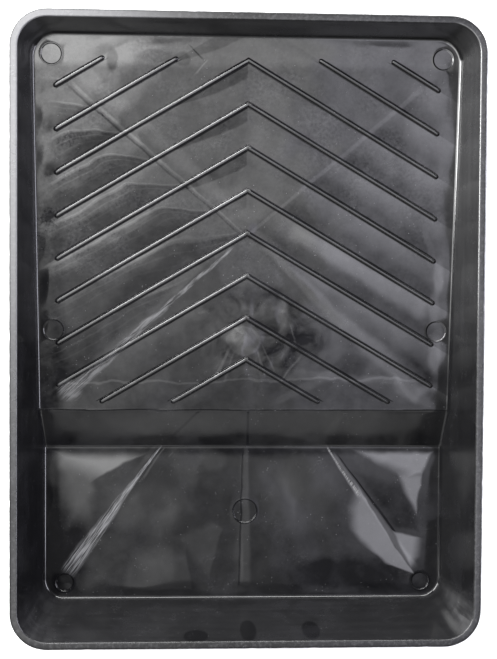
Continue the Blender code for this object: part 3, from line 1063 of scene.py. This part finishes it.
def ramp_gloss(graph):
    """Gloss along the ramp's flow leaders, round the gate and in the smudges near its far edge."""
    change = graph.painted((graph.spot, RAMP_SPOTS), (graph.along_line, RAMP_LINES))
    left_border = graph.times(
        graph.ramp(graph.x, -120, -109, -0.24, 0.0), graph.ramp(graph.y, 60, 140, 1.0, 0.2)
    )
    swirl = graph.times(graph.add(graph.noise(0.013, 3.0, 0.55, None, 1.1), -0.52), 1.5)
    swirl = graph.times(swirl, graph.spot(8, -2, 36, 28, 0.7))
    top_band = graph.times(graph.ramp(graph.y, 157, 163), graph.ramp(graph.x, -90, 30, 0.40, 0.22))
    near_step = graph.ramp(graph.y, -40, 15, -0.24, 0.0)
    change = graph.add(change, near_step, left_border, swirl, top_band)
    return graph.times(change, graph.ramp(graph.y, -50, -48))


# Facets of the well's floor: corners in mm, how far each side fades out in mm, and how much they gleam
WELL_PATCHES = (
    (((-121, -77), (-118, -88), (-97, -96.5), (-62, -78)), (12, 16, 2.5, 8), 0.95),
    (((-117, -84), (-113, -127), (-97, -119), (-92, -104), (-97, -92)), (12, 14, 9, 6, 12), 0.26),
    (((-46, -132), (-22, -160), (-13, -126), (-22, -122)), (6, 2, 3, 6), 0.15),
    (((-72, -140), (-78, -166), (-32, -166), (-38, -136)), (6, 2, 2, 12), 0.13),
    (((61, -77), (87, -87), (101, -95), (114, -92), (122, -77)), (8, 5, 3, 3, 4), 0.90),
    (((98, -90), (103, -104), (111, -119), (114.5, -90)), (5, 4, 2, 8), 0.80),
    (
        ((72, -99), (66, -113), (68, -127), (78, -139), (92, -150), (110, -157)),
        (10, 10, 6, 3, 1.5, 1.2),
        0.82,
    ),
    (((94.8, -127.5), (107, -152), (113, -145), (114.5, -133.5)), (2, 6, 8, 2), 0.85),
    (((66, -88), (96, -126), (113, -130), (112, -120), (104, -98)), (6, 3, 3, 6, 6), -0.10),
    (((18, -92), (32, -120), (40, -100), (30, -84)), (6, 8, 14, 10), 0.16),
)

# Dull round blots high on the deep end's wall: place across and height in mm, and reach
WALL_BLOTS = ((-30, 55, 7.5, 8), (1, 48, 5.0, 14), (38.5, 48, 5.5, 12))

# Round lines on the ejector pin marks (place, radius, width, change of gloss) and small gleams in them
MARK_RINGS = [
    (*CENTRE_MARK, CENTRE_MARK_RADIUS / MM, 0.6, -0.20),
    *[(x, y, WELL_MARK_RADIUS / MM, 1.3, -0.20) for x, y in WELL_MARKS],
]
MARK_GLEAMS = [(x + 1.6, y - 2.2, 2.6, 2.0, 0.8, 0.12) for x, y in WELL_MARKS]

# Ovals on the well's floor: place, reach across and along, softness of the edge, change of gloss
WELL_SPOTS = (
    (-20, -83, 8, 7, 0.8, 0.14),
    (-112, -140, 12, 26, 0.9, -0.16),
    (-62, -112, 26, 14, 0.9, 0.16),
    (68, -156, 42, 11, 0.9, -0.16),
    (34, -104, 24, 22, 0.9, 0.14),
    (12, -77, 40, 5, 0.8, -0.12),
)

# Lines on the well's floor: start, end, width at each, wander, change of gloss
WELL_LINES = (
    ((57, -79), (111, -154), 1.4, 3.6, 0.6, 0.30),
    ((60, -80), (100, -133), 0.6, 1.0, 0.6, -0.20),
    ((53, -75), (74, -108), 0.8, 1.4, 1.0, 0.50),
    ((1, -74), (1, -166), 2.0, 5.0, 1.0, 0.20),
    ((-51, -75), (-66, -97), 0.6, 1.2, 1.0, 0.30),
    ((-1, -74), (-3, -166), 0.6, 1.0, 1.0, -0.14),
)


def well_gloss(graph):
    """Gloss of the well's floor: polished facets between its flow marks."""
    well_only = graph.ramp(graph.y, -76, -74, 1.0, 0.0)
    change = graph.painted(
        (graph.patch, WELL_PATCHES),
        (graph.spot, WELL_SPOTS),
        (graph.along_line, WELL_LINES),
        (graph.ring, MARK_RINGS),
        (graph.spot, MARK_GLEAMS),
    )
    near_step = graph.ramp(graph.y, -112, -84, 0.0, 0.10)
    near_step = graph.add(near_step, graph.ramp(graph.y, -81, -77, 0.0, -0.14))
    left_border = graph.ramp(graph.x, -119, -115, -0.12, 0.0)
    return graph.times(graph.add(change, near_step, left_border, -0.36), well_only)


# Ovals on the step: place, reach across and along, softness of the edge, change of gloss
STEP_SPOTS = (
    (-112, -62, 24, 14, 0.8, -0.14),
    (3, -77, 46, 12, 0.25, -0.42),
    (-90, -76, 30, 7, 0.8, -0.22),
    (108, -62, 22, 16, 0.6, -0.28),
    (-50, -60, 34, 8, 0.8, 0.20),
)

# Lines on the step: start, end, width at each, wander, change of gloss
STEP_LINES = (
    ((-28, -50), (-54, -75), 1.0, 1.5, 1.0, -0.25),
    ((2, -48), (2, -76), 1.2, 1.2, 1.0, -0.30),
    ((60, -52), (48, -74), 3.0, 6.0, 2.0, 0.12),
)


def step_gloss(graph):
    """Gloss of the step: a dull swell at its foot and a duller right end."""
    step_only = graph.times(graph.ramp(graph.y, -74, -73), graph.ramp(graph.y, -51, -50, 1.0, 0.0))
    change = graph.painted((graph.spot, STEP_SPOTS), (graph.along_line, STEP_LINES))
    return graph.times(graph.add(change, -0.10), step_only)


def black_polypropylene():
    """Glossy black moulded plastic, hazed along its flow marks, dusty, and scuffed on the rim, with painted
    highlights on the rim and painted light on the walls.
    """
    graph = Graph("black_polypropylene")
    z = graph.split.outputs[2]
    turned = graph.tree.nodes.new("ShaderNodeSeparateXYZ")
    graph.put(graph.geometry.outputs["Normal"], turned.inputs[0])
    upward = turned.outputs[2]

    wall = graph.ramp(upward, 0.2, 0.75, 1.0, 0.0)
    rim = graph.ramp(z, RIM_TOP - 1.6 * MM, RIM_TOP - 0.5 * MM)
    floor = graph.times(graph.ramp(upward, 0.8, 0.95), graph.math("SUBTRACT", 1.0, rim))

    # Haze: cloudy patches where the surface is less polished
    cloud = graph.ramp(graph.noise(0.030, 4.0, 0.6, None, 0.6), 0.45, 0.68)
    mottle = graph.noise(0.004, 3.0, 0.6)
    grain = graph.noise(0.0009, 2.0, 0.6)
    specks = graph.specks(0.003)
    lone = graph.ramp(graph.noise(0.02, 3.0, 0.7), 0.45, 0.62)
    dust = graph.times(graph.ramp(specks, 0.05, 0.12, 1.0, 0.0), lone)

    # Brushed streaks on the flow leaders
    well_brush = graph.ramp(graph.noise(0.0007, 2.0, 0.7, graph.streaked(26.0, 54.6)), 0.36, 0.66)
    ramp_brush = graph.ramp(graph.noise(0.0007, 2.0, 0.7, graph.streaked(20.0, 42.0)), 0.34, 0.64)
    lanes = graph.times(graph.along_line((-54, -75), (-113, -156), 1.0, 6.5, 1.5), well_brush)
    ramp_lane = graph.along_line((-10, 50), (-106, -36), 1.2, 4.0, 2.0)
    ramp_lane = graph.add(ramp_lane, graph.spot(-109, -37, 7, 6, 0.8))
    scored = graph.times(graph.along_line((53, -75), (76, -109), 0.7, 1.5, 1.0), well_brush, 0.7)
    lanes = graph.add(lanes, graph.times(ramp_lane, ramp_brush, 0.5), scored)

    marks = graph.add(scratches(graph, 8, 0.0010, 14.0), scratches(graph, 55, 0.0010, 16.0))

    roughness = graph.add(
        graph.times(cloud, 0.08),
        graph.times(mottle, 0.06),
        graph.times(grain, 0.05),
        graph.times(wall, 0.10),
        graph.times(rim, 0.12),
        graph.times(lanes, 0.22),
        graph.times(marks, 0.10),
        0.06,
    )
    graph.put(roughness, graph.shader.inputs["Roughness"])

    # Gloss: how strongly the surface mirrors the lights
    tone = graph.add(graph.noise(0.012, 5.0, 0.65), -0.5)
    tone = graph.times(tone, graph.ramp(graph.y, -82, -70, 0.25, 0.5))
    upper = graph.ramp(graph.y, 0, 70, 0.15, 1.0)
    speckle = graph.add(graph.noise(0.0018, 2.0, 0.6), -0.5)
    speckle = graph.times(speckle, graph.add(graph.times(cloud, 0.5), 0.2), upper)
    bays, rib = bay_gloss(graph)
    plain = graph.math("SUBTRACT", 1.0, rib)
    noisy = graph.times(graph.add(tone, speckle), plain)
    gloss = graph.add(bays, ramp_gloss(graph), step_gloss(graph), well_gloss(graph), noisy)
    edge = graph.from_outer_edge()
    rim_gloss = graph.add(
        graph.ramp(edge, 0.8, 4.2, -0.05, 0.07),
        graph.ramp(edge, 0.2, 0.9, -0.25, 0.0),
        graph.ramp(graph.y, -181, -176, -0.19, 0.0),
        graph.ramp(graph.y, 178, 182, 0.0, -0.07),
    )
    left = graph.ramp(graph.x, -122, -112, 1.0, 0.0)
    dark_wall = graph.times(wall, left, graph.ramp(graph.y, -60, 30, -0.47, -0.08))
    lengthwise = graph.noise(0.0045, 3.0, 0.6, graph.squeezed(0.06, 0.06, 1.0))
    dark_wall = graph.add(dark_wall, graph.times(wall, graph.add(lengthwise, -0.5), 0.14))
    blots = graph.add(*[graph.wall_spot(*blot) for blot in WALL_BLOTS])
    blots = graph.times(blots, graph.ramp(graph.y, -160, -150, 1.0, 0.0))
    dark_wall = graph.add(dark_wall, graph.times(wall, blots, -0.15))
    crease = graph.times(graph.ramp(upward, 0.985, 0.995, 1.0, 0.0), graph.ramp(upward, 0.5, 0.7))
    crease = graph.times(crease, graph.ramp(graph.x, 119, 121), graph.ramp(graph.y, -20, 40))
    gloss = graph.add(graph.times(gloss, floor), graph.times(rim, rim_gloss), dark_wall, crease, 0.55)
    graph.put(graph.math("MAXIMUM", gloss, 0.04), graph.shader.inputs["Specular IOR Level"])

    # Colour: near black, with dust, a paler rim that is partly worn and partly painted highlight, and painted
    # light on the walls
    wear = graph.times(rim, graph.ramp(graph.noise(0.0022, 3.0, 0.7), 0.42, 0.75), graph.ramp(edge, 0.5, 2.0))
    # Painted light on the walls' colour: the right wall palest, all walls paler towards the ramp's end, and
    # the deep end's wall paler near its top
    lit_wall = graph.times(graph.ramp(graph.x, 121, 126, 0.4, 1.0), graph.ramp(graph.y, -30, 40, 0.15, 1.1))
    lit_wall = graph.add(lit_wall, graph.ramp(graph.y, -176, -166, 0.35, 0.0), 0.06)
    upright = graph.noise(0.005, 2.0, 0.5, graph.squeezed(1.0, 1.0, 0.12))
    # Painted reflections: upright streaks of light on the walls in the deep end's corners, strongest on the
    # right
    near_corners = graph.ramp(graph.y, -172, -152, 1.0, 0.0)
    near_corners = graph.times(near_corners, graph.ramp(upright, 0.3, 0.7, 0.3, 1.0))
    corner_light = graph.ramp(graph.x, 124, 131, 0.0, 4.0)
    corner_light = graph.add(corner_light, graph.ramp(graph.x, -126, -96, 0.8, 0.0))
    lit_wall = graph.add(lit_wall, graph.times(near_corners, corner_light))
    # The dull blots also dim this painted wall light
    lit_wall = graph.times(lit_wall, graph.math("SUBTRACT", 1.0, graph.times(blots, 0.7)))
    # The painted wall light, streaked lengthwise, goes into the walls' colour
    painted_wall_light = graph.times(wall, lit_wall, graph.ramp(lengthwise, 0.3, 0.7, 0.033, 0.047))
    # Painted highlights: the rim's colour is made paler towards the upper left, where the key light falls,
    # and along the right side, standing in for light on the rim
    left_rim_highlight = graph.add(graph.times(graph.x, -1.0), graph.times(graph.y, 0.45))
    left_rim_highlight = graph.ramp(left_rim_highlight, 80, 210, 0.0, 0.30)
    right_rim_highlight = graph.ramp(graph.x, 126, 132, 0.0, 0.024)
    right_rim_highlight = graph.times(right_rim_highlight, graph.ramp(graph.y, -150, -120, 0.4, 1.0))
    painted_rim_highlights = graph.times(rim, graph.add(left_rim_highlight, right_rim_highlight), graph.ramp(edge, 0.3, 1.4))
    # Paleness of the colour: wear, dust, scuffs and scratches, with the painted rim highlights and the
    # painted wall light
    pale = graph.add(graph.times(wear, 0.05), painted_rim_highlights, graph.times(dust, 0.16))
    pale = graph.add(pale, graph.times(lanes, 0.34), graph.times(marks, 0.05), painted_wall_light)
    clouded = graph.blend(cloud, (0.003, 0.003, 0.0035, 1.0), (0.006, 0.006, 0.007, 1.0))
    graph.put(graph.blend(pale, clouded, (0.42, 0.42, 0.43, 1.0)), graph.shader.inputs["Base Color"])

    # Fine relief: orange peel, grain and the rim's rough top
    height = graph.add(graph.times(mottle, 0.25), graph.times(grain, graph.add(graph.times(rim, 0.2), 0.06)))
    height = graph.times(height, graph.add(graph.times(plain, 0.85), 0.15))
    bump = graph.tree.nodes.new("ShaderNodeBump")
    bump.inputs["Strength"].default_value = 0.5
    bump.inputs["Distance"].default_value = 0.06 * MM
    graph.put(height, bump.inputs["Height"])
    graph.put(bump.outputs["Normal"], graph.shader.inputs["Normal"])
    return graph.material


# ------------------------------------------------------------------ stage, camera and lights


def pale_floor():
    """A plain pale ground."""
    bpy.ops.mesh.primitive_plane_add(size=60.0, location=(0.0, 0.0, -0.0002))
    floor = bpy.context.object
    floor.name = "pale_floor"
    material = bpy.data.materials.new("pale_paper")
    material.use_nodes = True
    shader = material.node_tree.nodes["Principled BSDF"]
    shader.inputs["Base Color"].default_value = (0.9, 0.9, 0.9, 1.0)
    shader.inputs["Roughness"].default_value = 0.9
    floor.data.materials.append(material)


def camera():
    """Almost straight above the tray, a little to the left of its middle."""
    data = bpy.data.cameras.new("camera")
    data.lens = CAMERA_LENS
    data.sensor_width = 36.0
    data.clip_start = 0.01
    obj = bpy.data.objects.new("camera", data)
    obj.location = CAMERA_PLACE
    obj.rotation_mode = "QUATERNION"
    turn = Matrix.Rotation(CAMERA_TURN, 3, "Z") @ Matrix.Rotation(CAMERA_ROLL_Y, 3, "Y")
    turn = turn @ Matrix.Rotation(CAMERA_TILT, 3, "X")
    obj.rotation_quaternion = turn.transposed().to_quaternion()
    bpy.context.scene.collection.objects.link(obj)
    bpy.context.scene.camera = obj


def soft_light(name, place, target, size, power, colour=(1.0, 1.0, 1.0)):
    """A rectangular soft box aimed at a point."""
    data = bpy.data.lights.new(name, "AREA")
    data.shape = "RECTANGLE"
    data.size, data.size_y = size
    data.energy = power
    data.color = colour
    obj = bpy.data.objects.new(name, data)
    obj.location = place
    obj.rotation_euler = (Vector(target) - Vector(place)).to_track_quat("-Z", "Y").to_euler()
    bpy.context.scene.collection.objects.link(obj)
    obj.visible_camera = False


def overhead(name, left, right, near, far, radiance, colour=(1.0, 1.0, 1.0)):
    """A soft box facing straight down, with its edges at these distances from the tray's middle."""
    size = (right - left, far - near)
    place = ((left + right) / 2, (near + far) / 2, CEILING)
    power = radiance * math.pi * size[0] * size[1]
    soft_light(name, place, (place[0], place[1], 0.0), size, power, colour)


def low_box(name, azimuth, elevation, away, size, radiance, colour=(1.0, 1.0, 1.0)):
    """A soft box aimed at the tray from this direction, in degrees, and distance."""
    around, up = math.radians(azimuth), math.radians(elevation)
    place = Vector((math.cos(up) * math.cos(around), math.cos(up) * math.sin(around), math.sin(up))) * away
    power = radiance * math.pi * size[0] * size[1]
    soft_light(name, place, (0.0, 0.0, 0.03), size, power, colour)


def studio():
    """Soft light from above and the upper left."""
    world = bpy.data.worlds.new("studio")
    world.use_nodes = True
    world.node_tree.nodes["Background"].inputs["Color"].default_value = (1.0, 1.0, 1.0, 1.0)
    world.node_tree.nodes["Background"].inputs["Strength"].default_value = 0.25
    bpy.context.scene.world = world
    overhead("key", -0.95, -0.165, -0.02, 0.9, 5.0)
    overhead("left_fill", -0.95, -0.12, -0.9, -0.03, 2.3)
    overhead("middle_fill", -0.165, 0.19, -0.12, 0.9, 2.3)
    overhead("near_middle_fill", -0.12, 0.19, -0.9, -0.14, 1.3)
    overhead("right_fill", 0.19, 0.55, -0.9, 0.7, 2.4, (0.91, 0.905, 1.0))
    low_box("rib_box", 120, 46, 1.9, (0.6, 0.45), 28.0)
    low_box("left_box", 157, 28, 2.0, (1.3, 0.8), 22.0)
    low_box("far_box", 87, 30, 2.1, (1.5, 0.7), 16.0)
    low_box("right_box", 0, 30, 2.0, (1.4, 0.9), 12.0, (0.88, 0.88, 1.0))
    low_box("near_box", -90, 34, 2.2, (2.6, 1.2), 0.8)
    bpy.context.scene.view_settings.view_transform = "Standard"


plastic = black_polypropylene()
made = {**build_rim(), **build_walls(), **build_floor(), **build_ribs(), **build_legs()}
for node, piece in made.items():
    piece.data.materials.append(plastic)
    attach(piece, "root")
    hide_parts(node)
pale_floor()
camera()
studio()
